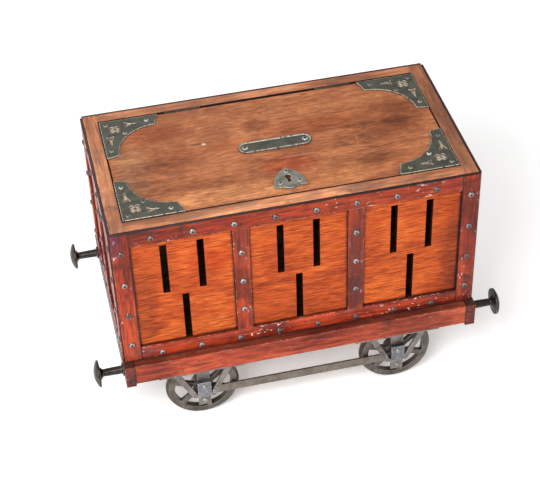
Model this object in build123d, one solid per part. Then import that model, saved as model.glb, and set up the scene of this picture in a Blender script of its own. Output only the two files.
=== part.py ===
from build123d import *
import math
import os

# A wooden cigar box in the shape of a four-wheel railway goods van.
# Origin: on the floor, under the middle of the van. +X along the van, -Y the lock side, +Z up. Millimetres.

# ---- box ----
body_length = 250.0
body_width = 131.4
body_height = 115.6
deck_height = 70.5
panel_thickness = 6.0
rim_thickness = 7.0
end_rim_width = 9.8
front_rim_width = 9.5
back_rim_width = 8.7

# ---- lid ----
lid_gap = 0.5
hinge_gap = 1.8
stop_gap = 0.3
stop_height = 6.0
stop_reach = 3.4

# ---- slots in the long sides ----
bay_pitch = 79.2
slot_width = 4.7
slot_pair_spacing = 25.0
upper_slot_top = 17.0
upper_slot_bottom = 59.1
lower_slot_top = 62.9

# ---- frame strips ----
side_strip_thickness = 2.2
end_strip_thickness = 2.0
strip_top_drop = 0.4
top_rail_depth = 12.0
bottom_rail_depth = 11.6
corner_post_width = 11.9
corner_post_overhang = 0.7
mid_post_width = 10.9

# ---- nails ----
nail_head_radius = 2.3
nail_head_height = 1.3
nail_shank_radius = 0.7
top_nail_drop = 0.4
bottom_nail_drop = 1.0
nail_shank_length = 5.2
nail_hole_clearance = 0.05
nail_end_inset = 16.4
nail_sag = 0.8
rail_nail_shift = -1.8
mid_post_nail_inset = 20.0
side_rail_nails = 8
end_rail_nails = 4
corner_post_nails = 4
mid_post_nails = 3

# ---- underframe ----
base_board_thickness = 10.4
solebar_thickness = 8.0
base_board_overhang = 0.3
solebar_depth = 16.4
headstock_thickness = 7.0
headstock_depth = 18.7

# ---- wheels and axles ----
wheelbase = 144.2
flange_radius = 26.9
flange_thickness = 1.4
tread_radius = 25.2
tread_width = 3.2
wheel_rim_depth = 4.5
hub_radius = 7.4
hub_length = 8.0
hub_proud = 0.2
spoke_count = 6
spoke_start_angle = 40.0
spoke_width = 3.8
spoke_depth = 3.0
spoke_recess = 0.3
axle_radius = 2.5
axle_clearance = 0.05
axle_end_play = 0.3

# ---- axle guards ----
guard_thickness = 1.6
guard_apron_length = 63.0
guard_apron_above_axle = 17.9
guard_foot_width = 11.0
foot_screw_inset = 6.6
foot_screw_spacing = 52.9
strap_width = 9.0
strap_below_axle = 14.8
leg_width = 4.6
leg_top_offset = 18.9
leg_foot_offset = 5.6
leg_foot_below_axle = 6.9
axlebox_width = 9.6
axlebox_above_axle = 8.1
axlebox_below_axle = 4.0
axlebox_depth = 2.6
axlebox_lip_depth = 3.4
axlebox_lip_height = 1.4
axlebox_groove_depth = 1.2
axlebox_groove_height = 1.2
axlebox_wall = 1.0
rivet_head_radius = 2.0
rivet_head_height = 1.2
rivet_shank_radius = 0.8
box_rivet_above_axle = 5.2
strap_rivet_below_axle = 10.8
bar_height = 7.0
bar_thickness = 1.4
bar_below_axle = 3.3
bar_end_gap = 3.2
bar_rivet_offset = 7.0
wheel_to_bar_gap = 0.8

# ---- buffers ----
buffer_spacing = 128.0
buffer_drop = 9.8
buffer_shank_radius = 3.0
buffer_length = 21.3
buffer_head_radius = 9.6
buffer_head_dome = 2.9
buffer_head_edge = 1.5
buffer_collar_radius = 4.6
buffer_collar_height = 0.9
buffer_collar_slope = 0.8
buffer_taper = 0.9
buffer_flare = 1.6
buffer_flare_length = 1.8
buffer_flare_edge = 0.4
buffer_spigot = 5.5

# ---- hinges ----
hinge_length = 26.0
hinge_spacing = 110.0
hinge_axis_drop = 0.75
knuckle_radius = 1.4
hinge_pin_radius = 0.6
hinge_pin_clearance = 0.05
knuckle_gap = 0.2
leaf_thickness = 0.7
leaf_depth = 6.0
leaf_clearance = 0.35
hinge_screw_spacing = 8.6
hinge_screw_drop = 4.2
hinge_screw_length = 5.0
screw_head_radius = 1.3
screw_point_length = 0.8
screw_grip = 4.0

# ---- lock ----
keyhole_radius = 2.1
keyhole_slot_width = 2.4
keyhole_slot_drop = 6.0
keyhole_inset = 17.7
lock_width = 30.0
lock_front_inset = 5.1
lock_back_inset = 26.2
lock_depth = 6.0
lock_wall = 1.0
lock_cap_thickness = 0.8
lock_post_radius = 0.9
bolt_width = 14.0
bolt_thickness = 2.4
bolt_top_gap = 1.5
bolt_clearance = 0.3
bolt_travel = 4.0
bolt_tail = 1.6
bolt_window_clearance = 0.6
strike_thickness = 0.8
strike_margin = 4.0
strike_end_clearance = 0.6
lock_pillar_inset = 2.6
lock_pillar_radius = 1.9

# ---- lid fittings ----
fitting_thickness = 0.7
corner_arm_x = 41.5
corner_arm_y = 42.5
corner_arm_width_x = 11.1
corner_arm_width_y = 8.6
corner_arm_slant = 3.6
flower_inset_x = 9.8
flower_inset_y = 10.7
corner_scallop_bulge = 0.293
petal_radius = 1.55
petal_offset = 1.85
dart_half_width = 2.7
dart_length_x = 7.3
dart_length_y = 9.3
dart_barb = 0.14
dart_waist = 0.3
dart_gap_x = 8.4
dart_gap_y = 9.2
dart_middle = 0.62
corner_pin_inset = (4.0, 4.6)
scallop_pin_inset = (16.2, 16.6)
arm_pin_inset_x = 5.0
arm_pin_inset_y = 6.0
arm_pin_middle = 0.475
pin_head_radius = 1.8
pin_head_height = 0.8
pin_shank_radius = 0.55
pin_length = 4.0
plate_length = 51.0
plate_width = 11.5
plate_edge_width = 0.9
plate_edge_height = 0.4
plate_screw_spacing = 42.6
plate_screw_radius = 2.3
plate_screw_height = 1.0
plate_screw_slot = 0.5
plate_screw_length = 5.0
plate_screw_turns = (50.0, 35.0)
shield_half_width = 11.0
shield_apex = 11.2
shield_side = (8.2, 3.2)
shield_base = -8.4
shield_point_drop = 2.8
shield_hollow_x = 5.0
shield_hollow_drop = 0.3
shield_keyhole_drop = 2.2
shield_pin_places = ((0, 7.4), (-6.6, -4.0), (6.6, -4.0))

# ---- worked out from the sizes above ----
rim_top = deck_height + body_height
lid_underside = rim_top - rim_thickness
half_length = body_length / 2
half_width = body_width / 2
axle_height = flange_radius
lid_half_length = half_length - end_rim_width - lid_gap
lid_front = -half_width + front_rim_width + lid_gap
rim_back_edge = half_width - back_rim_width
lid_back = rim_back_edge - hinge_gap
hinge_y = rim_back_edge - hinge_gap / 2
hinge_z = rim_top - hinge_axis_drop
keyhole_y = lid_front + keyhole_inset
strip_top = rim_top - strip_top_drop
over = 1.0  # how far a cutter or a root runs past the face it meets


def block(x, y, z):
    """A box from its low and high value along each axis."""
    size = (x[1] - x[0], y[1] - y[0], z[1] - z[0])
    middle = (sum(x) / 2, sum(y) / 2, sum(z) / 2)
    return Pos(*middle) * Box(*size)


def turned(outline):
    """A solid of revolution about Z from a closed outline in (radius, height)."""
    return revolve(Plane.XZ * make_face(outline), Axis.Z)


def cap_middle(radius, height, base=0.0):
    """The middle point, in (radius, height), of a spherical cap's profile."""
    ball = (radius ** 2 + height ** 2) / (2 * height)
    angle = math.asin(radius / ball) / 2
    return (ball * math.sin(angle), base + height - ball + ball * math.cos(angle))


def dome_fastener(head_radius, head_height, shank_radius, shank_length):
    """A round-headed nail, pin or rivet: its head above Z = 0 and its shank below."""
    outline = Polyline((0, head_height), (0, -shank_length), (shank_radius, -shank_length), (shank_radius, 0),
                       (head_radius, 0))
    outline += ThreePointArc((head_radius, 0), cap_middle(head_radius, head_height), (0, head_height))
    return turned(outline)


def evenly(low, high, count):
    """count numbers from low to high, both included."""
    return [low + (high - low) * k / (count - 1) for k in range(count)]


parts = {}


def keep(name, shape):
    """Record one node: a solid, or a list of separate solids."""
    parts[name] = shape


def tool(*shapes):
    """Several cutters as one shape."""
    return Compound(children=[Solid(s.solid().wrapped) for shape in shapes for s in shape.solids()])


# ---- fasteners, placed by the pieces that they hold ----
nail = dome_fastener(nail_head_radius, nail_head_height, nail_shank_radius, nail_shank_length)
nail_hole = Pos(0, 0, -nail_shank_length / 2) * Cylinder(nail_shank_radius + nail_hole_clearance,
                                                        nail_shank_length + 2 * nail_hole_clearance)
pin = dome_fastener(pin_head_radius, pin_head_height, pin_shank_radius, pin_length)
pin_hole = Pos(0, 0, -pin_length / 2) * Cylinder(pin_shank_radius + nail_hole_clearance,
                                                pin_length + 2 * nail_hole_clearance)


# ---- panels and their frame strips ----
def rail_positions(half_span, count):
    """Nail places along a rail between two corner posts."""
    first = -half_span + nail_end_inset
    return [x + rail_nail_shift for x in evenly(first, -first, count)]


def wall_frame(post_centres, post_widths, post_outer):
    """Strips of one wall, drawn as (x, z) rectangles: two rails, corner posts and the posts between them."""
    inner_left = post_centres[0] + post_widths[0] / 2
    inner_right = -inner_left
    rail_low = deck_height + bottom_rail_depth
    rail_high = strip_top - top_rail_depth
    corner_posts = [((-post_outer, inner_left), (deck_height, strip_top)),
                    ((inner_right, post_outer), (deck_height, strip_top))]
    rails = {"top": ((inner_left, inner_right), (rail_high, strip_top)),
             "bottom": ((inner_left, inner_right), (deck_height, rail_low))}
    mid_posts = [((c - w / 2, c + w / 2), (rail_low, rail_high))
                 for c, w in zip(post_centres[1:-1], post_widths[1:-1])]
    return rails, corner_posts, mid_posts


def wall_nails(post_centres, half_span, rail_count):
    """Nail places of one wall as (x, z)."""
    rail_low = deck_height + bottom_rail_depth
    rail_high = strip_top - top_rail_depth
    places = [(x, z) for x in rail_positions(half_span, rail_count)
              for z in (strip_top - top_rail_depth / 2 - top_nail_drop,
                       deck_height + bottom_rail_depth / 2 - bottom_nail_drop)]
    places += [(x, z) for x in (post_centres[0], post_centres[-1])
               for z in evenly(deck_height + nail_end_inset, rim_top - nail_end_inset, corner_post_nails)]
    places += [(x, z) for x in post_centres[1:-1]
               for z in evenly(rail_low + mid_post_nail_inset, rail_high - mid_post_nail_inset,
                               mid_post_nails)]
    return places


side_outer = half_length + corner_post_overhang
side_posts = [-side_outer + corner_post_width / 2, -bay_pitch / 2, bay_pitch / 2,
              side_outer - corner_post_width / 2]
side_widths = [corner_post_width, mid_post_width, mid_post_width, corner_post_width]
side_rails, side_corners, side_mids = wall_frame(side_posts, side_widths, side_outer)
side_nails = wall_nails(side_posts, side_outer - corner_post_width, side_rail_nails)
end_posts = [-half_width + corner_post_width / 2, 0.0, half_width - corner_post_width / 2]
end_widths = [corner_post_width, mid_post_width, corner_post_width]
end_rails, end_corners, end_mids = wall_frame(end_posts, end_widths, half_width)
end_nails = wall_nails(end_posts, half_width - corner_post_width, end_rail_nails)

slot_tops = {-slot_pair_spacing / 2: upper_slot_top,
             slot_pair_spacing / 2: upper_slot_top,
             0.0: lower_slot_top}
slot_bottoms = {upper_slot_top: rim_top - upper_slot_bottom, lower_slot_top: deck_height + bottom_rail_depth}
slot_rows = [(bay * bay_pitch + offset, slot_bottoms[top], rim_top - top)
             for bay in (-1, 0, 1) for offset, top in slot_tops.items()]

side_turns = {-1: Rot(90, 0, 0), 1: Rot(-90, 0, 0)}
end_turns = {-1: Rot(0, -90, 0), 1: Rot(0, 90, 0)}
side_nail_places = [Pos(x, side * (half_width + side_strip_thickness), z - nail_sag) * side_turns[side]
                    for side in (-1, 1) for x, z in side_nails]
end_nail_places = [Pos(side * (half_length + end_strip_thickness), y, z - nail_sag) * end_turns[side]
                   for side in (-1, 1) for y, z in end_nails]
nail_holes = tool(*[place * nail_hole for place in side_nail_places + end_nail_places])
keep("side_nails", [place * nail for place in side_nail_places])
keep("end_nails", [place * nail for place in end_nail_places])

for side, wall in ((-1, "front"), (1, "back")):
    face = side * half_width
    panel_y = sorted((face, face - side * panel_thickness))
    strip_y = sorted((face, face + side * side_strip_thickness))
    panel = block((-half_length + panel_thickness, half_length - panel_thickness), panel_y,
                  (deck_height, lid_underside))
    slots = tool(*[block((x - slot_width / 2, x + slot_width / 2),
                         (panel_y[0] - over, panel_y[1] + over), (low, high)) for x, low, high in slot_rows])
    keep(wall + "_panel", panel - slots - nail_holes)
    keep(wall + "_rails", [block(x, strip_y, z) - nail_holes for x, z in side_rails.values()])
    keep(wall + "_posts", [block(x, strip_y, z) - nail_holes for x, z in side_corners + side_mids])

for side, wall in ((-1, "left"), (1, "right")):
    face = side * half_length
    panel_x = sorted((face, face - side * panel_thickness))
    strip_x = sorted((face, face + side * end_strip_thickness))
    end_panel = block(panel_x, (-half_width, half_width), (deck_height, lid_underside))
    keep(wall + "_panel", end_panel - nail_holes)
    keep(wall + "_end_strips", [block(strip_x, y, z) - nail_holes
                                for y, z in list(end_rails.values()) + end_corners + end_mids])

# ---- rim ----
rim_z = (lid_underside, rim_top)
rim_inner_x = half_length - end_rim_width
keep("rim_left", block((-half_length, -rim_inner_x), (-half_width, half_width), rim_z) - nail_holes)
keep("rim_right", block((rim_inner_x, half_length), (-half_width, half_width), rim_z) - nail_holes)
rim_front = block((-rim_inner_x, rim_inner_x), (-half_width, lid_front - lid_gap), rim_z) - nail_holes
rim_back = block((-rim_inner_x, rim_inner_x), (rim_back_edge, half_width), rim_z) - nail_holes

# ---- lid board with its keyhole and hinge recesses ----
lid_x = (-lid_half_length, lid_half_length)
keyhole_face = Pos(0, keyhole_y) * Circle(keyhole_radius)
keyhole_face += Pos(0, keyhole_y - keyhole_slot_drop / 2) * Rectangle(keyhole_slot_width, keyhole_slot_drop)


def keyhole_cut(low, high):
    """The keyhole as a cutter between two heights."""
    return Pos(0, 0, low) * extrude(keyhole_face, high - low)


lid_board = block(lid_x, (lid_front, lid_back), rim_z) - keyhole_cut(lid_underside - over, rim_top + over)

# ---- hinges ----
hinge_middles = [-hinge_spacing / 2, hinge_spacing / 2]
knuckle_length = (hinge_length - 2 * knuckle_gap) / 3
hinge_screw_offsets = [-hinge_screw_spacing, 0.0, hinge_screw_spacing]
leaf_low = hinge_z - leaf_depth


def rod(radius, x, middle_y, middle_z):
    """A round bar along X between two values of x."""
    return Pos(sum(x) / 2, middle_y, middle_z) * Rot(0, 90, 0) * Cylinder(radius, x[1] - x[0])


def knuckle_spans(middle):
    """The three knuckles of a hinge as (low x, high x)."""
    starts = [middle - hinge_length / 2 + k * (knuckle_length + knuckle_gap) for k in range(3)]
    return [(start, start + knuckle_length) for start in starts]


def hinge_leaf(middle, wood_face, spans):
    """One leaf: a plate against the wood, rolled round the pin at its own knuckles."""
    inner_face = wood_face + math.copysign(leaf_thickness, hinge_y - wood_face)
    span_x = (middle - hinge_length / 2, middle + hinge_length / 2)
    leaf = block(span_x, sorted((wood_face, inner_face)), (leaf_low, hinge_z))
    leaf -= rod(knuckle_radius + leaf_clearance, (span_x[0] - over, span_x[1] + over), hinge_y, hinge_z)
    for x in spans:
        leaf += rod(knuckle_radius, x, hinge_y, hinge_z)
        leaf += block(x, sorted((wood_face, inner_face)), (hinge_z - knuckle_radius - over, hinge_z))
    return leaf - rod(hinge_pin_radius + hinge_pin_clearance,
                      (span_x[0] - over, span_x[1] + over), hinge_y, hinge_z)


def flush_screw(length):
    """A countersunk wood screw with its head flush at Z = 0 and its point below."""
    return turned(Polyline((0, 0), (screw_head_radius, 0), (rivet_shank_radius, -leaf_thickness),
                           (rivet_shank_radius, -length + screw_point_length), (0, -length), (0, 0)))


hinge_screw = flush_screw(hinge_screw_length)
long_screw = flush_screw(lock_cap_thickness + lock_depth + screw_grip)
lid_screws = []
rim_screws = []
for side, middle in zip(("left", "right"), hinge_middles):
    spans = knuckle_spans(middle)
    lid_leaf = hinge_leaf(middle, lid_back, spans[1:2])
    rim_leaf = hinge_leaf(middle, rim_back_edge, [spans[0], spans[2]])
    pocket_x = (middle - hinge_length / 2 - leaf_clearance, middle + hinge_length / 2 + leaf_clearance)
    pocket = rod(knuckle_radius + leaf_clearance, pocket_x, hinge_y, hinge_z)
    lid_board -= pocket
    rim_back -= pocket
    for offset in hinge_screw_offsets:
        height = hinge_z - hinge_screw_drop
        lid_screw = Pos(middle + offset, lid_back + leaf_thickness, height) * Rot(-90, 0, 0) * hinge_screw
        rim_screw = Pos(middle + offset, rim_back_edge - leaf_thickness, height) * Rot(90, 0, 0) * hinge_screw
        lid_leaf -= lid_screw
        lid_board -= lid_screw
        rim_leaf -= rim_screw
        rim_back -= rim_screw
        lid_screws.append(lid_screw)
        rim_screws.append(rim_screw)
    keep("hinge_leaf_lid_" + side, lid_leaf)
    keep("hinge_leaf_rim_" + side, rim_leaf)
keep("hinge_pins", [rod(hinge_pin_radius, (m - hinge_length / 2, m + hinge_length / 2), hinge_y, hinge_z)
                    for m in hinge_middles])
keep("hinge_screws_rim", rim_screws)
keep("rim_front", rim_front)
keep("rim_back", rim_back)

# ---- lock under the lid ----
lock_y = (lid_front + lock_front_inset, lid_front + lock_back_inset)
lock_x = (-lock_width / 2, lock_width / 2)
lock_low = lid_underside - lock_depth
bolt_z = (lid_underside - bolt_top_gap - bolt_thickness, lid_underside - bolt_top_gap)
bolt_x = (-bolt_width / 2, bolt_width / 2)
bolt_window_back = keyhole_y + lock_post_radius + bolt_travel + bolt_clearance
bolt_back = bolt_window_back + bolt_tail
stop_inner_y = lid_front - lid_gap + stop_reach
guide_x = (bolt_x[0] - bolt_clearance, bolt_x[1] + bolt_clearance)
guide_z = (bolt_z[0] - bolt_clearance, bolt_z[1] + bolt_clearance)
lock_hollow = block((lock_x[0] + lock_wall, lock_x[1] - lock_wall),
                    (lock_y[0] + lock_wall, lock_y[1] - lock_wall),
                    (lock_low - over, lid_underside - lock_wall))
lock_post = Pos(0, keyhole_y, (lock_low + lid_underside) / 2) * Cylinder(lock_post_radius, lock_depth)
bolt_slot = block(guide_x, (lock_y[0] - over, lock_y[0] + lock_wall + over), guide_z)
lock_case = block(lock_x, lock_y, (lock_low, lid_underside)) - lock_hollow - bolt_slot
lock_case -= keyhole_cut(lid_underside - lock_wall - over, lid_underside + over)
lock_cap = block(lock_x, lock_y, (lock_low - lock_cap_thickness, lock_low)) + lock_post
post_gap = keyhole_radius + bolt_window_clearance
bolt = block(bolt_x, (lock_y[0], bolt_back), bolt_z)
bolt -= block((-post_gap, post_gap), (keyhole_y - keyhole_slot_drop - bolt_travel / 2, bolt_window_back),
              (bolt_z[0] - over, bolt_z[1] + over))
for x in (lock_x[0] + lock_pillar_inset, lock_x[1] - lock_pillar_inset):
    for y in (lock_y[0] + lock_pillar_inset, lock_y[1] - lock_pillar_inset):
        pillar = Pos(x, y, (lock_low + lid_underside) / 2) * Cylinder(lock_pillar_radius, lock_depth)
        screw = Pos(x, y, lock_low - lock_cap_thickness) * Rot(180, 0, 0) * long_screw
        lock_case = lock_case + pillar - screw
        lock_cap -= screw
        lid_board -= screw
        lid_screws.append(screw)
keep("lock_case", lock_case)
keep("lock_cap", lock_cap)
keep("lock_bolt", bolt)

# ---- fittings on the lid ----
top = rim_top + fitting_thickness
fitting_pins = []
corner_x = lid_half_length
scallop_x = corner_arm_x - corner_arm_slant
scallop_y = corner_arm_width_x
scallop_end_x = corner_arm_width_y
scallop_end_y = corner_arm_y - corner_arm_slant / 2
corner_outline = Polyline((scallop_x, scallop_y), (corner_arm_x, 0), (0, 0), (0, corner_arm_y),
                          (scallop_end_x, scallop_end_y))
corner_outline += ThreePointArc((scallop_end_x, scallop_end_y),
                                (scallop_end_x + (scallop_x - scallop_end_x) * corner_scallop_bulge,
                                 scallop_y + (scallop_end_y - scallop_y) * corner_scallop_bulge),
                                (scallop_x, scallop_y))
petals = [Pos(flower_inset_x + sx * petal_offset, flower_inset_y + sy * petal_offset) * Circle(petal_radius)
          for sx in (-1, 1) for sy in (-1, 1)]


def dart(length, half_width):
    """A dart-shaped piercing that points along +X from its notched tail."""
    barb = -length * dart_barb
    waist = (length * dart_waist, half_width * dart_waist)
    return make_face(Polyline((0, 0), (barb, half_width), waist, (length, 0), (waist[0], -waist[1]),
                              (barb, -half_width), (0, 0)))


dart_x = Pos(flower_inset_x + dart_gap_x, scallop_y * dart_middle) * dart(dart_length_x, dart_half_width)
dart_y_place = Pos(scallop_end_x * dart_middle, flower_inset_y + dart_gap_y) * Rot(0, 0, 90)
dart_y = dart_y_place * dart(dart_length_y, dart_half_width)
corner_face = make_face(corner_outline) - petals - dart_x - dart_y
corner_pin_places = [corner_pin_inset, scallop_pin_inset,
                     (scallop_x - arm_pin_inset_x, scallop_y * arm_pin_middle),
                     (scallop_end_x * arm_pin_middle, scallop_end_y - arm_pin_inset_y)]
corner_plate = extrude(corner_face, fitting_thickness)
corners = {"front_left": (-1, -1), "front_right": (1, -1), "back_left": (-1, 1), "back_right": (1, 1)}
for name, (sx, sy) in corners.items():
    corner_y = lid_front if sy < 0 else lid_back
    placed = corner_plate
    if sx > 0:
        placed = placed.mirror(Plane.YZ)
    if sy > 0:
        placed = placed.mirror(Plane.XZ)
    placed = Pos(sx * corner_x, corner_y, rim_top) * placed
    pins = [Pos(sx * (corner_x - x), corner_y - sy * y, top) * pin for x, y in corner_pin_places]
    holes = [Pos(sx * (corner_x - x), corner_y - sy * y, top) * pin_hole for x, y in corner_pin_places]
    placed -= holes
    lid_board -= holes
    if sy > 0:
        placed -= tool(*[rod(knuckle_radius + leaf_clearance,
                             (m - hinge_length / 2 - over, m + hinge_length / 2 + over), hinge_y, hinge_z)
                         for m in hinge_middles])
    fitting_pins += pins
    keep("corner_plate_" + name, placed)

plate_y = (lid_front + lid_back) / 2
name_plate = extrude(SlotOverall(plate_length, plate_width), fitting_thickness + plate_edge_height)
plate_field = SlotOverall(plate_length - 2 * plate_edge_width, plate_width - 2 * plate_edge_width)
name_plate -= Pos(0, 0, fitting_thickness) * extrude(plate_field, plate_edge_height + over)
name_plate = Pos(0, plate_y, rim_top) * name_plate
plate_screw = dome_fastener(plate_screw_radius, plate_screw_height, rivet_shank_radius, plate_screw_length)
plate_screw -= Pos(0, 0, plate_screw_height) * Box(2 * plate_screw_radius + over, plate_screw_slot,
                                                   2 * plate_screw_slot)
plate_screw_hole = Pos(0, 0, -plate_screw_length / 2) * Cylinder(rivet_shank_radius + nail_hole_clearance,
                                                                 plate_screw_length + 2 * nail_hole_clearance)
plate_screws = []
for x, turn in zip((-plate_screw_spacing / 2, plate_screw_spacing / 2), plate_screw_turns):
    place = Pos(x, plate_y, top)
    hole = place * plate_screw_hole
    name_plate -= hole
    lid_board -= hole
    plate_screws.append(place * Rot(0, 0, turn) * plate_screw)
keep("name_plate", name_plate)
keep("name_plate_screws", plate_screws)

shield_half = Polyline((0, shield_base - shield_point_drop), (0, shield_apex))
shield_half += ThreePointArc((0, shield_apex), shield_side, (shield_half_width, shield_base))
shield_half += ThreePointArc((shield_half_width, shield_base),
                             (shield_hollow_x, shield_base - shield_hollow_drop),
                             (0, shield_base - shield_point_drop))
shield_face = make_face(shield_half)
shield_face += shield_face.mirror(Plane.YZ)
shield_y = keyhole_y - shield_keyhole_drop
shield = Pos(0, shield_y, rim_top) * extrude(shield_face, fitting_thickness)
shield -= keyhole_cut(rim_top - over, top + over)
for x, y in shield_pin_places:
    place = Pos(x, shield_y + y, top)
    shield -= place * pin_hole
    lid_board -= place * pin_hole
    fitting_pins.append(place * pin)
keep("escutcheon", shield)
keep("fitting_pins", fitting_pins)
keep("lid_screws", lid_screws)
keep("lid_board", lid_board)

# ---- lid stops under the rim ----
stop_z = (lid_underside - stop_gap - stop_height, lid_underside - stop_gap)
wall_inner_x = half_length - panel_thickness
wall_inner_y = half_width - panel_thickness
end_stop_inner = lid_half_length + lid_gap - stop_reach
back_stop_inner = lid_back - stop_reach
front_stop = block((-wall_inner_x, wall_inner_x), (-wall_inner_y, stop_inner_y), stop_z)
strike_slot_front = stop_inner_y - bolt_travel - strike_end_clearance
strike_slot = block(guide_x, (strike_slot_front, stop_inner_y + over), guide_z)
strike_x = (guide_x[0] - strike_margin, guide_x[1] + strike_margin)
front_stop -= strike_slot
front_stop -= block(strike_x, (stop_inner_y - strike_thickness, stop_inner_y + over),
                    (stop_z[0] - over, stop_z[1] + over))
strike = block(strike_x, (stop_inner_y - strike_thickness, stop_inner_y), stop_z) - strike_slot
keep("lock_strike", strike)
keep("lid_stop_front", front_stop)
end_stop_y = (stop_inner_y, back_stop_inner)
keep("lid_stops", [block((-wall_inner_x, wall_inner_x), (back_stop_inner, wall_inner_y), stop_z),
                   block((-wall_inner_x, -end_stop_inner), end_stop_y, stop_z),
                   block((end_stop_inner, wall_inner_x), end_stop_y, stop_z)])

# ---- underframe ----
headstock_outer = half_length + end_strip_thickness + base_board_overhang
headstock_inner = headstock_outer - headstock_thickness
board_half_width = half_width + base_board_overhang
board_bottom = deck_height - base_board_thickness
solebar_outer = board_half_width + solebar_thickness
solebar_bottom = deck_height - solebar_depth
keep("base_board", block((-headstock_inner, headstock_inner), (-board_half_width, board_half_width),
                         (board_bottom, deck_height)))
for side, wall in ((-1, "front"), (1, "back")):
    keep("solebar_" + wall, block((-headstock_inner, headstock_inner),
                                  sorted((side * board_half_width, side * solebar_outer)),
                                  (solebar_bottom, deck_height)))

# ---- buffers in the headstocks ----
head_root = buffer_length - buffer_head_dome - buffer_head_edge
flare_end = head_root - buffer_flare_edge
buffer_outline = Polyline((0, buffer_length), (0, -buffer_spigot), (buffer_shank_radius, -buffer_spigot),
                          (buffer_shank_radius, 0), (buffer_collar_radius, 0),
                          (buffer_collar_radius, buffer_collar_height),
                          (buffer_shank_radius, buffer_collar_height + buffer_collar_slope),
                          (buffer_shank_radius * buffer_taper, flare_end - buffer_flare_length),
                          (buffer_shank_radius * buffer_flare, flare_end), (buffer_head_radius, head_root),
                          (buffer_head_radius, head_root + buffer_head_edge))
dome_root = head_root + buffer_head_edge
buffer_outline += ThreePointArc((buffer_head_radius, dome_root),
                                cap_middle(buffer_head_radius, buffer_head_dome, dome_root),
                                (0, buffer_length))
buffer = turned(buffer_outline)
buffer_socket = Pos(0, 0, -buffer_spigot / 2) * Cylinder(buffer_shank_radius + nail_hole_clearance,
                                                         buffer_spigot + 2 * nail_hole_clearance)
buffer_height = deck_height - buffer_drop
for side, end in ((-1, "left"), (1, "right")):
    beam = block(sorted((side * headstock_inner, side * headstock_outer)), (-solebar_outer, solebar_outer),
                 (deck_height - headstock_depth, deck_height))
    pair = []
    for y in (-buffer_spacing / 2, buffer_spacing / 2):
        place = Pos(side * headstock_outer, y, buffer_height) * Rot(0, side * 90, 0)
        beam -= place * buffer_socket
        pair.append(place * buffer)
    keep("headstock_" + end, beam)
    keep("buffers_" + end, pair)

# ---- axle guards, axleboxes and tie bars, drawn for the front and mirrored to the back ----
guard_front = -board_half_width
guard_back = guard_front + guard_thickness
bar_back = guard_back + bar_thickness
apron_z = (axle_height + guard_apron_above_axle, board_bottom)
strap_low = axle_height - strap_below_axle
leg_low = axle_height - leg_foot_below_axle
box_z = (axle_height - axlebox_below_axle, axle_height + axlebox_above_axle)
box_front = guard_front - axlebox_depth


def guard_shape():
    """The axle guard at x = 0: apron, strap, two legs and a foot under the base board."""
    shape = Pos(0, (apron_z[0] + apron_z[1]) / 2) * Rectangle(guard_apron_length, apron_z[1] - apron_z[0])
    shape += Pos(0, (strap_low + apron_z[1]) / 2) * Rectangle(strap_width, apron_z[1] - strap_low)
    for side in (-1, 1):
        top_x = side * leg_top_offset
        foot_x = side * leg_foot_offset
        leg_top = apron_z[0] + over
        shape += make_face(Polyline((top_x - leg_width / 2, leg_top), (top_x + leg_width / 2, leg_top),
                                    (foot_x + leg_width / 2, leg_low), (foot_x - leg_width / 2, leg_low),
                                    (top_x - leg_width / 2, leg_top)))
    flat = Pos(0, guard_back, 0) * (Plane.XZ * extrude(shape, guard_thickness))
    half = guard_apron_length / 2
    return flat + block((-half, half), (guard_front, guard_front + guard_foot_width),
                        (board_bottom - guard_thickness, board_bottom))


lip_low = box_z[1] + axlebox_groove_height
box_outline = Polyline((guard_front, box_z[0]), (box_front, box_z[0]), (box_front, box_z[1]),
                       (box_front + axlebox_groove_depth, box_z[1]),
                       (box_front + axlebox_groove_depth, lip_low),
                       (guard_front - axlebox_lip_depth, lip_low),
                       (guard_front - axlebox_lip_depth, lip_low + axlebox_lip_height),
                       (guard_front, lip_low + axlebox_lip_height), (guard_front, box_z[0]))
axlebox = Pos(-axlebox_width / 2, 0, 0) * extrude(Plane.YZ * make_face(box_outline), axlebox_width)
bore_end = box_front + axlebox_wall
bore_radius = axle_radius + axle_clearance


def along_y(radius, x, y, z):
    """A round bar along Y between two values of y."""
    return Pos(x, sum(y) / 2, z) * Rot(90, 0, 0) * Cylinder(radius, y[1] - y[0])


axlebox -= along_y(bore_radius, 0, (bore_end, guard_front + over), axle_height)
guard = guard_shape() - along_y(bore_radius, 0, (guard_front - over, guard_back + over), axle_height)
rivet_places = [(0, box_front, axle_height + box_rivet_above_axle, guard_back),
                (0, guard_front, axle_height - strap_rivet_below_axle, guard_back)]
foot_screw_y = guard_front + foot_screw_inset
foot_screw = Rot(180, 0, 0) * dome_fastener(pin_head_radius, pin_head_height, rivet_shank_radius,
                                             pin_length + guard_thickness)
guards = {}
rivets = []
boxes = []
guard_screws = []
for end, side in (("left", -1), ("right", 1)):
    wheel_x = side * wheelbase / 2
    inward = -side
    own = Pos(wheel_x, 0, 0)
    this_guard = own * guard
    this_box = own * axlebox
    places = [(wheel_x + x, y, z, tail) for x, y, z, tail in rivet_places]
    places.append((wheel_x + inward * bar_rivet_offset, guard_front, axle_height - bar_below_axle, bar_back))
    for x, y, z, tail in places:
        rivet = Pos(x, y, z) * Rot(90, 0, 0) * dome_fastener(rivet_head_radius, rivet_head_height,
                                                            rivet_shank_radius, tail - y)
        hole = along_y(rivet_shank_radius, x, (y - over, bar_back + over), z)
        this_guard -= hole
        this_box -= hole
        rivets.append(rivet)
    for offset in (-foot_screw_spacing / 2, foot_screw_spacing / 2):
        screw = Pos(wheel_x + offset, foot_screw_y, board_bottom - guard_thickness) * foot_screw
        this_guard -= screw
        guard_screws.append(screw)
    guards[end] = this_guard
    boxes.append(this_box)

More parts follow.
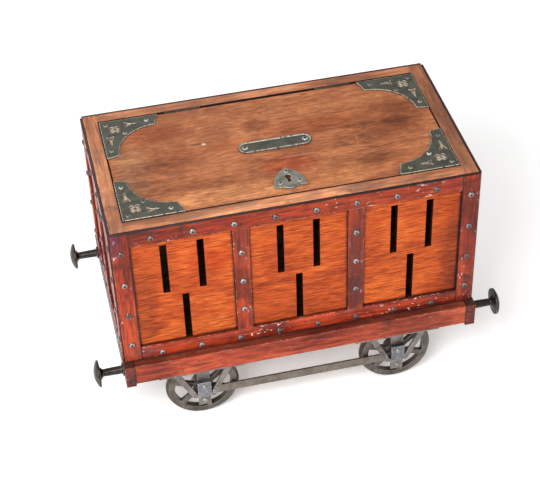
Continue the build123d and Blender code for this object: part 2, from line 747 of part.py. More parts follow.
bar_half = wheelbase / 2 - bar_end_gap
bar_middle = axle_height - bar_below_axle
tie_bar = block((-bar_half, bar_half), (guard_back, bar_back),
                (bar_middle - bar_height / 2, bar_middle + bar_height / 2))
for side in (-1, 1):
    tie_bar -= along_y(rivet_shank_radius, side * (wheelbase / 2 - bar_rivet_offset),
                       (guard_back - over, bar_back + over), bar_middle)


def back_copy(shapes):
    """Mirror images, across the middle of the van, of the front pieces."""
    return [shape.mirror(Plane.XZ) for shape in shapes]


for end, shape in guards.items():
    keep("axle_guard_front_" + end, shape)
    keep("axle_guard_back_" + end, shape.mirror(Plane.XZ))
keep("axleboxes", boxes + back_copy(boxes))
keep("guard_rivets", rivets + back_copy(rivets))
keep("tie_bar_front", tie_bar)
keep("tie_bar_back", tie_bar.mirror(Plane.XZ))
both_screws = guard_screws + back_copy(guard_screws)
keep("guard_screws", both_screws)
parts["base_board"] -= both_screws

# ---- wheels and axles ----
wheel_front = bar_back + wheel_to_bar_gap
rim_inner_radius = tread_radius - wheel_rim_depth


def wheel_shape():
    """A spoked wheel on the Z axis: outer face at Z = 0, flange below."""
    rim_outline = Polyline((rim_inner_radius, 0), (tread_radius, 0), (tread_radius, -tread_width),
                           (flange_radius, -tread_width), (flange_radius, -tread_width - flange_thickness),
                           (rim_inner_radius, -tread_width - flange_thickness), (rim_inner_radius, 0))
    shape = turned(rim_outline)
    hub_back = hub_proud - hub_length
    shape += turned(Polyline((axle_radius, hub_proud), (hub_radius, hub_proud), (hub_radius, hub_back),
                             (axle_radius, hub_back), (axle_radius, hub_proud)))
    spoke_low = hub_radius - over
    spoke_high = rim_inner_radius + over
    spoke = block((spoke_low, spoke_high), (-spoke_width / 2, spoke_width / 2),
                  (-spoke_recess - spoke_depth, -spoke_recess))
    for k in range(spoke_count):
        shape += Rot(0, 0, spoke_start_angle + k * 360 / spoke_count) * spoke
    return shape


wheel = wheel_shape()
axle_half = -(bore_end + axle_end_play)
for end, side in (("left", -1), ("right", 1)):
    wheel_x = side * wheelbase / 2
    front_wheel = Pos(wheel_x, wheel_front, axle_height) * Rot(90, 0, 0) * wheel
    keep(f"wheel_front_{end}", front_wheel)
    keep(f"wheel_back_{end}", front_wheel.mirror(Plane.XZ))
    keep(f"axle_{end}", along_y(axle_radius, wheel_x, (-axle_half, axle_half), axle_height))

os.makedirs("parts", exist_ok=True)
for name, shape in parts.items():
    pieces = shape if isinstance(shape, list) else [shape]
    solids = [solid for piece in pieces for solid in piece.solids()]
    export_step(solids[0] if len(solids) == 1 else Compound(children=solids), f"parts/{name}.step")
print(len(parts), "nodes")
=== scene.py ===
import bpy
from mathutils import Matrix, Vector


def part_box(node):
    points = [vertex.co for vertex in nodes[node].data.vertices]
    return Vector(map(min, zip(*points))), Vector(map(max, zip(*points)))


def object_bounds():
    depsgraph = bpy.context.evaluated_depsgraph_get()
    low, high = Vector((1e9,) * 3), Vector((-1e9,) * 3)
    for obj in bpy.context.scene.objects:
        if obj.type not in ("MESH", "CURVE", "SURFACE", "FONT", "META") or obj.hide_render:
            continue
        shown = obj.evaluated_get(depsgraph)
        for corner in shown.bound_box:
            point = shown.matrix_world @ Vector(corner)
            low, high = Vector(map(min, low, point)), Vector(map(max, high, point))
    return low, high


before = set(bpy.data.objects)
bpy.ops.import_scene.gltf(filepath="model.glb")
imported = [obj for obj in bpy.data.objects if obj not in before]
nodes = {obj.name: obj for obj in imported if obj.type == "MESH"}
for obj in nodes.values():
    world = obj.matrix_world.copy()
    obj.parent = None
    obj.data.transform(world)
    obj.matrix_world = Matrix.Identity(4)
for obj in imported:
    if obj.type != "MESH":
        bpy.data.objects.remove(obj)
MM = 0.001


def as_lists(bounds):
    return [[float(v) for v in corner] for corner in bounds]


cad_box = as_lists(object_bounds())
van_low, van_high = (Vector(corner) for corner in cad_box)
rim_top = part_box("rim_front")[1][2]
strip_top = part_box("front_rails")[1][2]
lid_low, lid_high = (Vector(corner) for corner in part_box("lid_board"))


# ---------------------------------------------------------------- node graphs
def rgba(colour):
    """A colour of three numbers with its alpha. Sockets stay as they are."""
    return colour if isinstance(colour, bpy.types.NodeSocket) or len(colour) == 4 else (*colour, 1.0)


class Graph:
    """A short way to write a procedural material in object coordinates."""

    def __init__(self, name):
        self.material = bpy.data.materials.new(name)
        self.material.use_nodes = True
        self.tree = self.material.node_tree
        self.tree.nodes.clear()
        output = self.tree.nodes.new("ShaderNodeOutputMaterial")
        self.shader = self.tree.nodes.new("ShaderNodeBsdfPrincipled")
        self.tree.links.new(self.shader.outputs["BSDF"], output.inputs["Surface"])
        coordinates = self.tree.nodes.new("ShaderNodeTexCoord")
        self.place = coordinates.outputs["Object"]
        self.x, self.y, self.z = self.add("SeparateXYZ", Vector=self.place).outputs
        facing = self.add("VectorMath", {"operation": "ABSOLUTE"}, Vector=coordinates.outputs["Normal"])
        self.facing = self.add("SeparateXYZ", Vector=facing.outputs[0]).outputs

    def add(self, kind, settings=(), **inputs):
        """A node; inputs are values or sockets, by socket name with _ for a space."""
        node = self.tree.nodes.new("ShaderNode" + kind)
        for key, value in dict(settings).items():
            setattr(node, key, value)
        for key, value in inputs.items():
            self.put(node.inputs[key.replace("_", " ")], value)
        return node

    def put(self, socket, value):
        """Link a socket to the input, or set it to a constant."""
        if isinstance(value, bpy.types.NodeSocket):
            self.tree.links.new(value, socket)
        else:
            socket.default_value = value

    def math(self, operation, *values, clamp=False):
        """One step of arithmetic on values or sockets."""
        node = self.tree.nodes.new("ShaderNodeMath")
        node.operation = operation
        node.use_clamp = clamp
        for socket, value in zip(node.inputs, values):
            self.put(socket, value)
        return node.outputs[0]

    def vector(self, operation, first, second=(0, 0, 0)):
        """One step of vector arithmetic on values or sockets."""
        node = self.tree.nodes.new("ShaderNodeVectorMath")
        node.operation = operation
        self.put(node.inputs[0], first)
        self.put(node.inputs[1], second)
        return node.outputs["Value"] if operation in ("LENGTH", "DOT_PRODUCT") else node.outputs[0]

    def noise(self, stretch, offset=0.0, detail=3.0, roughness=0.5, distortion=0.0):
        """Noise with stretch features per metre along each axis, from 0 to 1."""
        moved = self.vector("MULTIPLY", self.place, stretch)
        moved = self.vector("ADD", moved, (offset, offset * 1.7, offset * 0.6))
        return self.add("TexNoise", Vector=moved, Scale=1.0, Detail=detail, Roughness=roughness,
                        Distortion=distortion).outputs["Fac"]

    def fade(self, value, low, high, to_low=0.0, to_high=1.0):
        """value from low..high to to_low..to_high, clamped and smooth."""
        node = self.add("MapRange", {"interpolation_type": "SMOOTHSTEP"}, Value=value, From_Min=low,
                        From_Max=high, To_Min=to_low, To_Max=to_high)
        return node.outputs["Result"]

    def mix(self, amount, first, second, mode="MIX"):
        """first with amount of second laid over it."""
        node = self.tree.nodes.new("ShaderNodeMix")
        node.data_type = "RGBA"
        node.blend_type = mode
        node.clamp_factor = True
        self.put(node.inputs[0], amount)
        self.put(node.inputs[6], rgba(first))
        self.put(node.inputs[7], rgba(second))
        return node.outputs[2]

    def ramp(self, value, stops):
        """A colour ramp from (position, colour) stops."""
        node = self.tree.nodes.new("ShaderNodeValToRGB")
        self.put(node.inputs[0], value)
        elements = node.color_ramp.elements
        while len(elements) < len(stops):
            elements.new(0.5)
        for element, (position, colour) in zip(elements, stops):
            element.position = position
            element.color = rgba(colour)
        return node.outputs["Color"]

    def cover(self, value, low, high, amount):
        """How much of a layer shows: amount where value is past high, none below low."""
        return self.fade(value, low, high, 0.0, amount)

    def spot(self, centre, radii, soft=0.6, ragged=0.35):
        """1 inside an ellipsoid round a point, 0 outside, with a ragged edge. Metres."""
        relative = self.vector("SUBTRACT", self.place, centre)
        length = self.vector("LENGTH", self.vector("DIVIDE", relative, radii))
        rough = self.math("MULTIPLY", self.noise((260, 260, 260), 5.0), ragged)
        return self.fade(self.math("ADD", length, rough), 1.0 + ragged * 0.5, 1.0 + ragged * 0.5 - soft)

    def outline(self, low, high, width):
        """1 within width of the outline of a rectangle drawn on the XY plane. Metres."""
        sides = []
        for position, start, end in ((self.x, low[0], high[0]), (self.y, low[1], high[1])):
            offset = self.math("ABSOLUTE", self.math("SUBTRACT", position, (start + end) / 2))
            sides.append(self.math("SUBTRACT", offset, (end - start) / 2))
        distance = self.math("ABSOLUTE", self.math("MAXIMUM", *sides))
        return self.fade(distance, width, width * 0.45)

    def softened(self, radius):
        """The surface's normal with sharp edges rounded in the shading."""
        return self.add("Bevel", {"samples": 6}, Radius=radius).outputs["Normal"]

    def edges(self, rounded):
        """0 on flat faces, rising towards 1 close to a sharp edge."""
        normal = self.add("NewGeometry").outputs["Normal"]
        return self.math("SUBTRACT", 1.0, self.vector("DOT_PRODUCT", rounded, normal), clamp=True)

    def crevice(self, reach):
        """0 in the open, rising towards 1 in corners and beside raised pieces."""
        open_part = self.add("AmbientOcclusion", {"samples": 6}, Distance=reach).outputs["AO"]
        return self.math("SUBTRACT", 1.0, open_part, clamp=True)

    def bump(self, height, strength, distance, normal):
        """The normal with a fine relief on it."""
        node = self.add("Bump", Height=height, Strength=strength, Distance=distance, Normal=normal)
        return node.outputs["Normal"]

    def finish(self, colour, roughness, normal, metallic=0.0, coat=0.0, coat_roughness=0.2, specular=0.5):
        """Put everything on the shader and give back the material."""
        self.put(self.shader.inputs["Base Color"], colour)
        self.put(self.shader.inputs["Roughness"], roughness)
        self.put(self.shader.inputs["Normal"], normal)
        self.shader.inputs["Metallic"].default_value = metallic
        self.shader.inputs["Coat Weight"].default_value = coat
        self.shader.inputs["Coat Roughness"].default_value = coat_roughness
        self.shader.inputs["Specular IOR Level"].default_value = specular
        return self.material


def shade(colour, tone):
    """A colour multiplied by a tone."""
    return tuple(c * t for c, t in zip(colour, tone))


# ---------------------------------------------------------------- wood
soot_and_shade = (0.020, 0.010, 0.010)
red_black = (0.055, 0.014, 0.013)  # old dirt on the red strips, and their painted shade in corners and round the nails
pale = (0.70, 0.56, 0.54)  # wood with the finish chipped off, also used for the painted glints among the small pale spots
ledge_dark = (0.045, 0.020, 0.014)
deep_shadow = (0.010, 0.005, 0.004)
gap_shadow_black = (0.008, 0.004, 0.004)
wood_edge_rounding = 0.7 * MM
wood_crevice_reach = 2.2 * MM
wood_relief = 0.14 * MM
wood_bump = 0.6
varnish_roughness = 0.14
arris_raggedness = 1.4 * MM
arris_below = 0.2 * MM
arris_above = 0.7 * MM
butt_line = (0.75 * MM, 0.25 * MM)  # where the dark line between two boards starts, and where it is full


def stretched(axis, along, across):
    """Features per metre: few along the grain and many across it."""
    return tuple(along if a == axis else across for a in "XYZ")


def wood(name, axis, colours, seed, tone=(1, 1, 1), contrast=1.0, figure=0.5, fibre=(55, 520), lines=0.0,
         line_colour=soot_and_shade, patch=None, patches=0.0, grime_and_crevice_dark=soot_and_shade, grimy=0.5, crevice=0.8, worn=pale, wear=0.0,
         specks_and_glints=0.0, marks=(), gap_shadow_outlines=None, butt=None, darker_tops=0.0, reveal=0.0, arris=0.0, rough=0.5,
         coat=0.0, specular=0.16):
    """Old oak: figure, fibres, grain lines, patches of another tone, dirt in patches, painted shade with dirt
    in corners and beside raised pieces, pale spots that are partly chips and partly painted glints, and worn
    edges.
    """
    g = Graph(name)
    rounded = g.softened(wood_edge_rounding)
    bands = g.noise(stretched(axis, 9, 80), seed, 2.0, 0.55, 1.4)
    fibres = g.noise(stretched(axis, *fibre), seed + 3, 3.0, 0.62, 0.35)
    tones = g.noise((13, 13, 13), seed + 11, 4.0, 0.6)
    value = g.math("ADD", g.math("MULTIPLY", bands, figure), g.math("MULTIPLY", fibres, 1.0 - figure))
    value = g.math("ADD", value, g.math("MULTIPLY", g.math("SUBTRACT", tones, 0.5), 0.6))
    value = g.math("ADD", g.math("MULTIPLY", g.math("SUBTRACT", value, 0.5), 2.4 * contrast), 0.5, clamp=True)
    dark, middle, light = (shade(c, tone) for c in colours)
    colour = g.ramp(value, [(0.08, dark), (0.5, middle), (0.92, light)])
    if lines:
        wavy = g.noise(stretched(axis, fibre[0] * 0.75, fibre[1] * 1.2), seed + 7, 2.0, 0.5, 0.45)
        colour = g.mix(g.cover(wavy, 0.48, 0.37, lines), colour, line_colour)
    if patches:
        colour = g.mix(g.cover(g.noise((24, 24, 24), seed + 17, 5.0, 0.68), 0.49, 0.62, patches), colour,
                       shade(patch, tone))
    # Pale spots, partly chips in the finish and partly painted glints.
    if specks_and_glints:
        small = g.cover(g.noise(stretched(axis, 260, 560), seed + 41, 2.0, 0.7), 0.62, 0.70, specks_and_glints)
        where = g.cover(g.noise((38, 38, 38), seed + 43, 3.0, 0.7), 0.48, 0.60, 1.0)
        colour = g.mix(g.math("MULTIPLY", small, where), colour, pale)
    colour = g.mix(g.cover(g.noise((90, 90, 90), seed + 23, 6.0, 0.75), 0.54, 0.70, grimy), colour, grime_and_crevice_dark)
    if wear:
        broken = g.cover(g.noise((260, 260, 260), seed + 31, 4.0, 0.7), 0.5, 0.6, wear)
        colour = g.mix(g.math("MULTIPLY", g.fade(g.edges(rounded), 0.03, 0.16), broken), colour, worn)
    # Painted shade mixed with dirt: darker in corners, round the nails and on the panels beside the strips,
    # where their shadow falls.
    unevenly = g.fade(g.noise((120, 120, 120), seed + 51), 0.3, 0.6, 0.75, 1.3)
    hollow = g.math("MULTIPLY", g.crevice(wood_crevice_reach), unevenly)
    colour = g.mix(g.cover(hollow, 0.06, 0.48, crevice), colour, grime_and_crevice_dark)
    if arris:
        ragged = g.math("MULTIPLY", g.noise((150, 150, 150), seed + 61), arris_raggedness)
        level = g.math("ADD", g.z, ragged)
        near = g.fade(level, strip_top - arris_below, strip_top + arris_above, 0.0, arris)
        colour = g.mix(near, colour, soot_and_shade)
    # Upward-facing faces are darkened.
    if darker_tops:
        colour = g.mix(g.cover(g.facing[2], 0.5, 0.9, darker_tops), colour, ledge_dark)
    if reveal:
        colour = g.mix(g.cover(g.facing[1], 0.6, 0.3, reveal), colour, deep_shadow)
    for centre, radii, mark_colour, amount, mode in marks:
        colour = g.mix(g.math("MULTIPLY", g.spot(centre, radii), amount), colour, mark_colour, mode)
    if butt:
        distance = g.math("ABSOLUTE", g.math("SUBTRACT", g.math("ABSOLUTE", g.x), butt))
        colour = g.mix(g.fade(distance, *butt_line, 0.0, 0.85), colour, soot_and_shade)
    # Painted shadow: a near-black line in the gap round the lid and along the hinge.
    for outline in gap_shadow_outlines or ():
        colour = g.mix(g.math("MULTIPLY", g.outline(*outline), 0.95), colour, gap_shadow_black)
    roughness = g.fade(fibres, 0.25, 0.75, rough + 0.1, rough - 0.1)
    height = g.math("ADD", g.math("MULTIPLY", fibres, 0.8), g.math("MULTIPLY", bands, 0.4))
    normal = g.bump(height, wood_bump, wood_relief, rounded)
    return g.finish(colour, roughness, normal, coat=coat, coat_roughness=varnish_roughness, specular=specular)


lid_colours = [(0.21, 0.072, 0.034), (0.40, 0.150, 0.070), (0.57, 0.245, 0.115)]
rim_colours = [(0.15, 0.058, 0.034), (0.33, 0.128, 0.070), (0.52, 0.230, 0.135)]
panel_colours = [(0.26, 0.036, 0.008), (0.52, 0.088, 0.020), (0.70, 0.170, 0.044)]
strip_colours = [(0.10, 0.014, 0.009), (0.34, 0.048, 0.020), (0.52, 0.095, 0.038)]
sole_colours = [(0.16, 0.024, 0.012), (0.42, 0.076, 0.034), (0.62, 0.155, 0.080)]
inner_colours = [(0.16, 0.07, 0.035), (0.28, 0.14, 0.07), (0.40, 0.22, 0.12)]

tan = (0.62, 0.29, 0.13)
lid_mark_depth = 4
front_mark_depth = 45
front_mark_behind = 8


def on_lid(x, y, rx, ry, colour, amount, mode="MIX"):
    """A mark on the lid's top, in millimetres from the middle of the van."""
    return (x * MM, y * MM, rim_top), (rx * MM, ry * MM, lid_mark_depth * MM), colour, amount, mode


def stain_and_light_patch(x, y, rx, ry, colour):
    """A broad patch that multiplies the colour and leaves the grain showing; it makes both stains of another
    tone and painted light and shade.
    """
    return on_lid(x, y, rx, ry, colour, 1.0, "MULTIPLY")


def on_front(x, z, rx, rz, colour, amount=1.0, mode="MIX"):
    """A mark on the front of the van, in millimetres."""
    centre = (x * MM, van_low.y + front_mark_behind * MM, z * MM)
    return centre, (rx * MM, front_mark_depth * MM, rz * MM), colour, amount, mode


def front_stain_and_light_patch(x, z, rx, rz, colour):
    """A broad patch on the front that multiplies the colour; it makes both stains of another tone and painted
    light and shade.
    """
    return on_front(x, z, rx, rz, colour, 1.0, "MULTIPLY")


bare_wood = (0.72, 0.56, 0.40)
piercings = ((9.8, 10.7, 4.2), (22, 6, 4.0), (6, 25, 4.5))  # insets from the lid's corner, and reach
lid_marks_and_painted_light = [
    # Painted light among these patches: the first brightens the front-left of the lid, those at x -60 and x
    # 40 brighten more of its front, and the one at x 84 darkens its right side as painted shade.
    stain_and_light_patch(-50, -46, 66, 12, (1.6, 1.9, 1.85)), stain_and_light_patch(-100, -6, 16, 36, (0.95, 1.14, 1.30)),
    stain_and_light_patch(84, 10, 36, 30, (0.62, 0.52, 0.48)), stain_and_light_patch(28, 14, 46, 14, (0.80, 0.66, 0.60)),
    stain_and_light_patch(4, -24, 26, 13, (0.96, 0.66, 0.56)), stain_and_light_patch(-76, 32, 30, 14, (0.92, 0.74, 0.68)),
    stain_and_light_patch(-74, 0, 32, 16, (0.74, 0.68, 0.66)), stain_and_light_patch(-8, 24, 16, 9, (0.60, 0.50, 0.52)),
    stain_and_light_patch(88, 5, 13, 8, (0.58, 0.54, 0.60)), stain_and_light_patch(62, -34, 18, 9, (0.70, 0.66, 0.64)),
    stain_and_light_patch(-60, -26, 30, 6, (1.18, 1.22, 1.10)), stain_and_light_patch(40, -44, 44, 9, (1.12, 1.14, 1.06)),
    stain_and_light_patch(96, -28, 12, 16, (1.08, 1.10, 1.10)), stain_and_light_patch(20, 42, 60, 9, (0.88, 0.84, 0.84)),
    stain_and_light_patch(-30, 6, 20, 8, (1.05, 0.95, 0.85)),
    on_lid(-53, 13.4, 6, 1.6, (0.10, 0.045, 0.03), 0.8), on_lid(-47.8, 12.3, 2.1, 1.6, (0.74, 0.52, 0.38),
                                                                0.9),
    on_lid(-79, -1.5, 4.5, 1.2, (0.09, 0.04, 0.03), 0.6), on_lid(0.3, 44.5, 1.5, 1.3, soot_and_shade, 0.6),
    on_lid(-2.5, 37.5, 1.8, 1.4, soot_and_shade, 0.5), on_lid(-24, 46, 1.6, 1.2, soot_and_shade, 0.35),
    on_lid(33, 52, 3.4, 1.6, soot_and_shade, 0.5), on_lid(56, -8, 0.9, 5, tan, 0.3),
    # The last mark here is painted shade: a black patch under the keyhole.
    on_lid(12, -16.5, 20, 0.7, (0.60, 0.38, 0.29), 0.3), on_lid(0, -39.5, 5, 7, soot_and_shade, 1.0),
]
lid_middle = (lid_low + lid_high) / MM / 2
for side_x in (-1, 1):
    for side_y in (-1, 1):
        corner_x = lid_middle.x + side_x * (lid_high - lid_low).x / MM / 2
        corner_y = lid_middle.y + side_y * (lid_high - lid_low).y / MM / 2
        for inset_x, inset_y, reach in piercings:
            lid_marks_and_painted_light.append(on_lid(corner_x - side_x * inset_x, corner_y - side_y * inset_y, reach, reach,
                                    bare_wood, 0.75))
# The broad patch at z 77 is painted light that brightens the bottom rail; the one at z 180 darkens the top
# rail; the smaller marks are dirt on the strips.
front_marks_and_painted_light = [on_front(39.6, 125, 8, 64, red_black, 0.66), on_front(-39.6, 158, 7, 26, red_black, 0.45),
               front_stain_and_light_patch(0, 77, 140, 7, (1.35, 1.3, 1.2)),
               front_stain_and_light_patch(0, 180, 140, 8, (0.82, 0.74, 0.66)),
               on_front(-124, 178, 7, 14, (0.05, 0.02, 0.04), 0.55),
               on_front(-112, 77, 16, 7, (0.16, 0.07, 0.08), 0.35),
               on_front(124, 110, 8, 74, red_black, 0.35)]
panel_marks = [front_stain_and_light_patch(114, 120, 18, 50, (0.62, 0.62, 0.70)),
               front_stain_and_light_patch(-108, 120, 13, 50, (0.72, 0.72, 0.80)),
               front_stain_and_light_patch(-60, 150, 22, 14, (0.95, 0.72, 0.62)),
               front_stain_and_light_patch(-74, 92, 36, 10, (1.02, 1.20, 1.20))]
sole_marks = [front_stain_and_light_patch(84, 62, 50, 14, (0.52, 0.48, 0.52)),
              front_stain_and_light_patch(20, 68, 34, 6, (0.55, 0.50, 0.55)),
              front_stain_and_light_patch(-104, 60, 18, 14, (0.66, 0.62, 0.68))]
# These patches are painted light and shade: they brighten the rim's front and left side and darken its right
# side and a stretch of the front right of the middle.
rim_painted_light = [stain_and_light_patch(-20, -67, 150, 14, (1.62, 1.72, 1.68)), stain_and_light_patch(-133, 10, 14, 110, (1.6, 1.75, 1.85)),
             stain_and_light_patch(122, 10, 14, 90, (0.66, 0.66, 0.68)), stain_and_light_patch(-40, -61, 76, 8, (1.10, 1.14, 1.12)),
             stain_and_light_patch(-120, -10, 9, 50, (1.14, 1.20, 1.20)), stain_and_light_patch(44, -61, 22, 6, (0.62, 0.66, 0.74))]

gap_out = 0.2 * MM  # how far outside the lid the painted shadow line of the gap round it runs
gap_back = 0.9 * MM  # the same behind it
hinge_gap_depth = 1.8 * MM
lid_gap_width = 0.95 * MM
hinge_gap_width = 0.8 * MM
lid_gap = ((lid_low.x - gap_out, lid_low.y - gap_out), (lid_high.x + gap_out, lid_high.y + gap_back),
           lid_gap_width)
hinge_gap = ((lid_low.x, lid_high.y), (lid_high.x, lid_high.y + hinge_gap_depth), hinge_gap_width)
post_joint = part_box("front_rails")[1][0]
beam_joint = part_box("solebar_front")[1][0]


def dress(names, material):
    """Give CAD nodes one material in every slot."""
    for name in names:
        for slot in nodes[name].material_slots:
            slot.material = material


dress(["lid_board"], wood("oak_lid", "X", lid_colours, 3.1, tone=(1.0, 0.88, 0.74), contrast=1.15,
                          figure=0.42, fibre=(120, 620), lines=0.35, line_colour=(0.16, 0.06, 0.03),
                          patch=(0.22, 0.075, 0.038), patches=0.5, grime_and_crevice_dark=(0.10, 0.045, 0.03), grimy=0.30,
                          crevice=0.9, marks=lid_marks_and_painted_light, rough=0.5, gap_shadow_outlines=(lid_gap, hinge_gap)))
for names, axis, seed in ((["rim_front", "rim_back"], "X", 8.4), (["rim_left", "rim_right"], "Y", 14.2)):
    dress(names, wood("oak_rim_" + axis, axis, rim_colours, seed, tone=(1.32, 1.25, 1.05), contrast=0.9,
                      figure=0.5, lines=0.35, line_colour=(0.12, 0.05, 0.03), patch=(0.14, 0.065, 0.05),
                      patches=0.45, marks=rim_painted_light, grime_and_crevice_dark=(0.07, 0.03, 0.025), grimy=0.45,
                      worn=(0.62, 0.42, 0.33), wear=0.7, gap_shadow_outlines=(lid_gap, hinge_gap)))
for names, axis, seed in ((["front_panel", "back_panel"], "X", 21.0),
                          (["left_panel", "right_panel"], "Y", 27.0)):
    slot_shadow = 0.97 if axis == "X" else 0.0
    dress(names, wood("oak_panel_" + axis, axis, panel_colours, seed, tone=(0.93, 0.86, 0.52), contrast=1.15,
                      figure=0.3, marks=panel_marks, fibre=(95, 880), lines=0.7,
                      line_colour=(0.15, 0.018, 0.005), patch=(0.40, 0.055, 0.012), patches=0.35, grimy=0.25,
                      crevice=0.95, reveal=slot_shadow, rough=0.42, coat=0.03, specular=0.12))
for names, axis, seed in ((["front_rails", "back_rails"], "X", 31.0),
                          (["front_posts", "back_posts"], "Z", 37.0),
                          (["left_end_strips", "right_end_strips"], "Z", 43.0)):
    dress(names, wood("oak_strip_" + str(int(seed)), axis, strip_colours, seed, tone=(0.86, 0.60, 0.36),
                      contrast=1.15, fibre=(60, 560), lines=0.55, patch=(0.10, 0.014, 0.010), patches=0.7,
                      grime_and_crevice_dark=red_black, grimy=0.85, crevice=1.0, wear=0.8, specks_and_glints=1.0, marks=front_marks_and_painted_light,
                      butt=post_joint, arris=0.92, rough=0.34, coat=0.08))
dress(["solebar_front", "solebar_back"],
      wood("oak_solebar", "X", sole_colours, 51.0, tone=(1.0, 0.8, 0.65), fibre=(80, 560), lines=0.45,
           patch=(0.20, 0.030, 0.018), patches=0.45, grime_and_crevice_dark=(0.05, 0.02, 0.018), grimy=0.55, wear=0.8,
           specks_and_glints=0.4, darker_tops=0.6, rough=0.42, butt=beam_joint, coat=0.04, marks=sole_marks))
dress(["headstock_left", "headstock_right"],
      wood("oak_headstock", "Y", strip_colours, 57.0, tone=(0.45, 0.55, 0.7), patch=(0.09, 0.025, 0.025),
           patches=0.6, grime_and_crevice_dark=red_black, grimy=0.7, wear=0.7, specks_and_glints=0.4, darker_tops=0.8, butt=beam_joint,
           rough=0.4, coat=0.05))
dress(["base_board", "lid_stops", "lid_stop_front"],
      wood("oak_inner", "X", inner_colours, 63.0, lines=0.3, grimy=0.5, rough=0.6))


# ---------------------------------------------------------------- metal
pit_shadow = (0.40, 0.37, 0.35)
dome_dark = (0.032, 0.022, 0.022)
metal_crevice_reach = 1.6 * MM
metal_relief = 0.06 * MM
metal_bump = 0.5


def metal(name, base, second, seed, roughness, worn=None, wear=0.0, grime_and_crevice_dark=None, grimy=0.0, metallic=1.0,
          edge=0.35, dome=None, crevice=0.6):
    """Old metal: two tones in patches, fine pits and scratches, dirt in patches and darker in corners, bright
    rubbed edges, and on domed heads a painted highlight band.
    """
    g = Graph(name)
    rounded = g.softened(edge * MM)
    broad = g.noise((75, 75, 75), seed, 5.0, 0.68)
    fine = g.noise((800, 800, 800), seed + 5, 4.0, 0.7)
    scratch = g.noise((2600, 240, 240), seed + 9, 2.0)
    colour = g.mix(g.fade(broad, 0.38, 0.62), base, second)
    colour = g.mix(g.cover(fine, 0.42, 0.70, 0.4), colour, pit_shadow, "MULTIPLY")
    # Painted highlight: on domed heads only a band at the slope in between shows the metal's own colours, as
    # a light band round the head, and the rest of the head is near-black.
    if dome:
        slope = g.facing["XYZ".index(dome)]
        each = g.fade(g.noise((34, 34, 34), seed + 71, 1.0), 0.40, 0.60, 0.35, 1.0)
        highlight_ring = g.math("MULTIPLY", g.fade(slope, 0.965, 0.90), g.fade(slope, 0.60, 0.76))
        colour = g.mix(g.math("MULTIPLY", highlight_ring, each), dome_dark, colour)
    if grime_and_crevice_dark:
        smears = g.noise((150, 150, 150), seed + 13, 5.0, 0.7)
        colour = g.mix(g.cover(smears, 0.5, 0.64, grimy), colour, grime_and_crevice_dark)
        colour = g.mix(g.cover(g.crevice(metal_crevice_reach), 0.15, 0.7, crevice), colour, grime_and_crevice_dark)
    if worn:
        broken = g.cover(g.noise((420, 420, 420), seed + 21, 3.0, 0.6), 0.34, 0.50, wear)
        colour = g.mix(g.math("MULTIPLY", g.fade(g.edges(rounded), 0.02, 0.14), broken), colour, worn)
    rough = g.math("ADD", g.fade(broad, 0.3, 0.7, roughness - 0.08, roughness + 0.10),
                   g.math("MULTIPLY", g.math("SUBTRACT", fine, 0.5), 0.25))
    height = g.math("ADD", g.math("MULTIPLY", fine, 0.8), g.math("MULTIPLY", scratch, 0.25))
    return g.finish(colour, rough, g.bump(height, metal_bump, metal_relief, rounded), metallic=metallic)


cream = (0.80, 0.76, 0.62)
iron = metal("old_iron", (0.11, 0.095, 0.080), (0.18, 0.155, 0.135), 2.0, 0.48,
             worn=(0.50, 0.47, 0.42), wear=0.75, grime_and_crevice_dark=(0.035, 0.028, 0.022), grimy=0.55,
             edge=0.5, metallic=0.8)
guard_iron = metal("guard_iron", (0.19, 0.165, 0.155), (0.28, 0.25, 0.235), 3.0, 0.44,
                   worn=(0.50, 0.47, 0.42), wear=0.7, grime_and_crevice_dark=(0.06, 0.045, 0.038), grimy=0.5, edge=0.5,
                   metallic=0.8)
bar_iron = metal("bar_iron", (0.17, 0.145, 0.120), (0.23, 0.20, 0.17), 4.0, 0.44,
                 worn=(0.45, 0.42, 0.38), wear=0.5, grime_and_crevice_dark=(0.07, 0.05, 0.035), grimy=0.45, metallic=0.8)
worn_steel = metal("worn_steel", (0.26, 0.25, 0.25), (0.38, 0.37, 0.36), 6.0, 0.36, grime_and_crevice_dark=(0.08, 0.06, 0.05),
                   grimy=0.5)
bright_steel = metal("bright_steel", (0.155, 0.155, 0.18), (0.27, 0.27, 0.31), 8.0, 0.34,
                     grime_and_crevice_dark=(0.12, 0.11, 0.11), grimy=0.55, worn=(0.85, 0.90, 0.92), wear=0.9, edge=0.5)
green_brass = metal("patinated_brass", (0.055, 0.054, 0.038), (0.095, 0.092, 0.068), 10.0, 0.52, worn=cream,
                    wear=1.0, grime_and_crevice_dark=(0.022, 0.020, 0.014), grimy=0.5, metallic=0.35, edge=1.0, crevice=0.2)
pin_brass = metal("pin_brass", (0.48, 0.46, 0.38), (0.66, 0.64, 0.54), 12.0, 0.34, grime_and_crevice_dark=(0.03, 0.025, 0.02),
                  grimy=0.3, metallic=0.4, dome="Z", crevice=0.3)
nickel = metal("worn_nickel", (0.17, 0.17, 0.14), (0.27, 0.27, 0.23), 14.0, 0.42, worn=cream, wear=1.0,
               grime_and_crevice_dark=(0.06, 0.055, 0.04), grimy=0.6, metallic=0.7, edge=0.7)
for nail_axis, nail_node in (("Y", "side_nails"), ("X", "end_nails")):
    dress([nail_node], metal("nail_" + nail_axis, (0.30, 0.265, 0.265), (0.46, 0.42, 0.41), 16.0, 0.32,
                             grime_and_crevice_dark=(0.05, 0.03, 0.03), grimy=0.4, metallic=0.5, dome=nail_axis, crevice=0.5))
bronze = metal("buffer_bronze", (0.032, 0.027, 0.023), (0.062, 0.054, 0.047), 18.0, 0.34,
               worn=(0.50, 0.47, 0.42), wear=0.7, grime_and_crevice_dark=(0.03, 0.022, 0.018), grimy=0.5, edge=0.6,
               metallic=0.9)
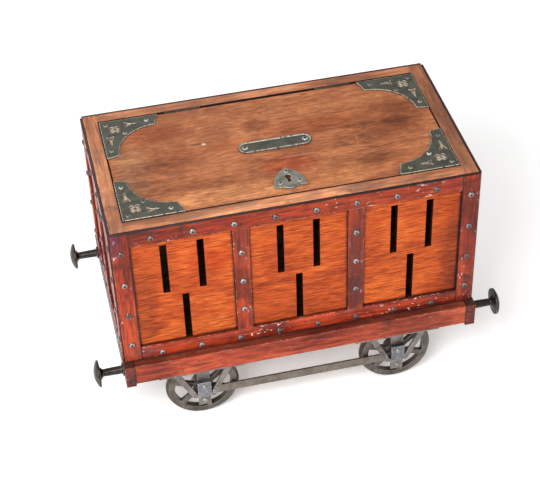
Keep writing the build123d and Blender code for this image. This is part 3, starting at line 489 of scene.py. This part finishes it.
old_brass = metal("old_brass", (0.16, 0.11, 0.05), (0.25, 0.18, 0.09), 20.0, 0.40, worn=(0.72, 0.60, 0.36),
                  wear=0.6, grime_and_crevice_dark=(0.10, 0.06, 0.03), grimy=0.5)
hinge_brown = metal("hinge_brown", (0.05, 0.030, 0.020), (0.09, 0.060, 0.042), 22.0, 0.45,
                    worn=(0.35, 0.27, 0.2), wear=0.4, grime_and_crevice_dark=(0.02, 0.012, 0.01), grimy=0.6, metallic=0.6)

dress([n for n in nodes if n.startswith("wheel_")], iron)
dress([n for n in nodes if n.startswith("axle_guard")], guard_iron)
dress(["tie_bar_front", "tie_bar_back"], bar_iron)
dress(["axle_left", "axle_right", "guard_rivets", "guard_screws"], worn_steel)
dress(["axleboxes"], bright_steel)
dress([n for n in nodes if n.startswith("corner_plate")] + ["name_plate"], green_brass)
dress(["fitting_pins", "name_plate_screws"], pin_brass)
dress(["escutcheon"], nickel)
dress(["buffers_left", "buffers_right"], bronze)
dress(["lock_bolt", "lock_strike", "lid_screws", "hinge_screws_rim"], old_brass)
dress([n for n in nodes if n.startswith("hinge_leaf")] + ["hinge_pins", "lock_case", "lock_cap"], hinge_brown)

# ---------------------------------------------------------------- floor, light and camera
floor_half = 6.0
floor_glow = 0.25
daylight = 0.52
white = (1.0, 1.0, 1.0, 1.0)
floor_mesh = bpy.data.meshes.new("floor")
floor_corners = [(x * floor_half, y * floor_half, 0) for x, y in ((-1, -1), (1, -1), (1, 1), (-1, 1))]
floor_mesh.from_pydata(floor_corners, [], [(0, 1, 2, 3)])
floor = bpy.data.objects.new("floor", floor_mesh)
bpy.context.collection.objects.link(floor)
paper = Graph("pale_floor")
paper_tone = paper.mix(paper.noise((3, 3, 3), 1.0), (0.93, 0.93, 0.925), (0.96, 0.96, 0.955))
paper.shader.inputs["Emission Color"].default_value = white
paper.shader.inputs["Emission Strength"].default_value = floor_glow
paper_normal = paper.bump(paper.noise((400, 400, 400)), 0.05, 0.1 * MM, paper.softened(0.1 * MM))
floor_mesh.materials.append(paper.finish(paper_tone, 0.9, paper_normal))

world = bpy.data.worlds.new("studio")
bpy.context.scene.world = world
world.use_nodes = True
world.node_tree.nodes["Background"].inputs["Color"].default_value = white
world.node_tree.nodes["Background"].inputs["Strength"].default_value = daylight


def softbox(name, position, size, power):
    """A square area light that faces the van."""
    light = bpy.data.lights.new(name, "AREA")
    light.energy = power
    light.size = size
    thing = bpy.data.objects.new(name, light)
    thing.location = position
    towards = (van_low + van_high) / 2 - Vector(position)
    thing.rotation_euler = towards.to_track_quat("-Z", "Y").to_euler()
    bpy.context.collection.objects.link(thing)


softbox("key", (-0.50, -0.72, 0.90), 0.5, 12.5)
softbox("fill", (0.9, -0.8, 0.8), 0.8, 2.4)
softbox("back", (-0.2, 1.0, 1.1), 0.8, 3.0)

# The camera looks down by about 41 degrees at the front, from a little to the left, and is slightly rolled.
lens = 99.6  # millimetres, with the sensor below
sensor_width = 36.0
nearest = 0.05
eye = Vector((-0.17113, -0.80496, rim_top + 0.62413))
right = Vector((0.97382, -0.22543, -0.02925))
up = Vector((0.17034, 0.63846, 0.75057))
camera_data = bpy.data.cameras.new("camera")
camera_data.sensor_width = sensor_width
camera_data.lens = lens
camera_data.clip_start = nearest
camera = bpy.data.objects.new("camera", camera_data)
turn = Matrix((right, up, right.cross(up))).transposed().to_4x4()
camera.matrix_world = Matrix.Translation(eye) @ turn
bpy.context.collection.objects.link(camera)
bpy.context.scene.camera = camera
bpy.context.scene.view_settings.view_transform = "Standard"
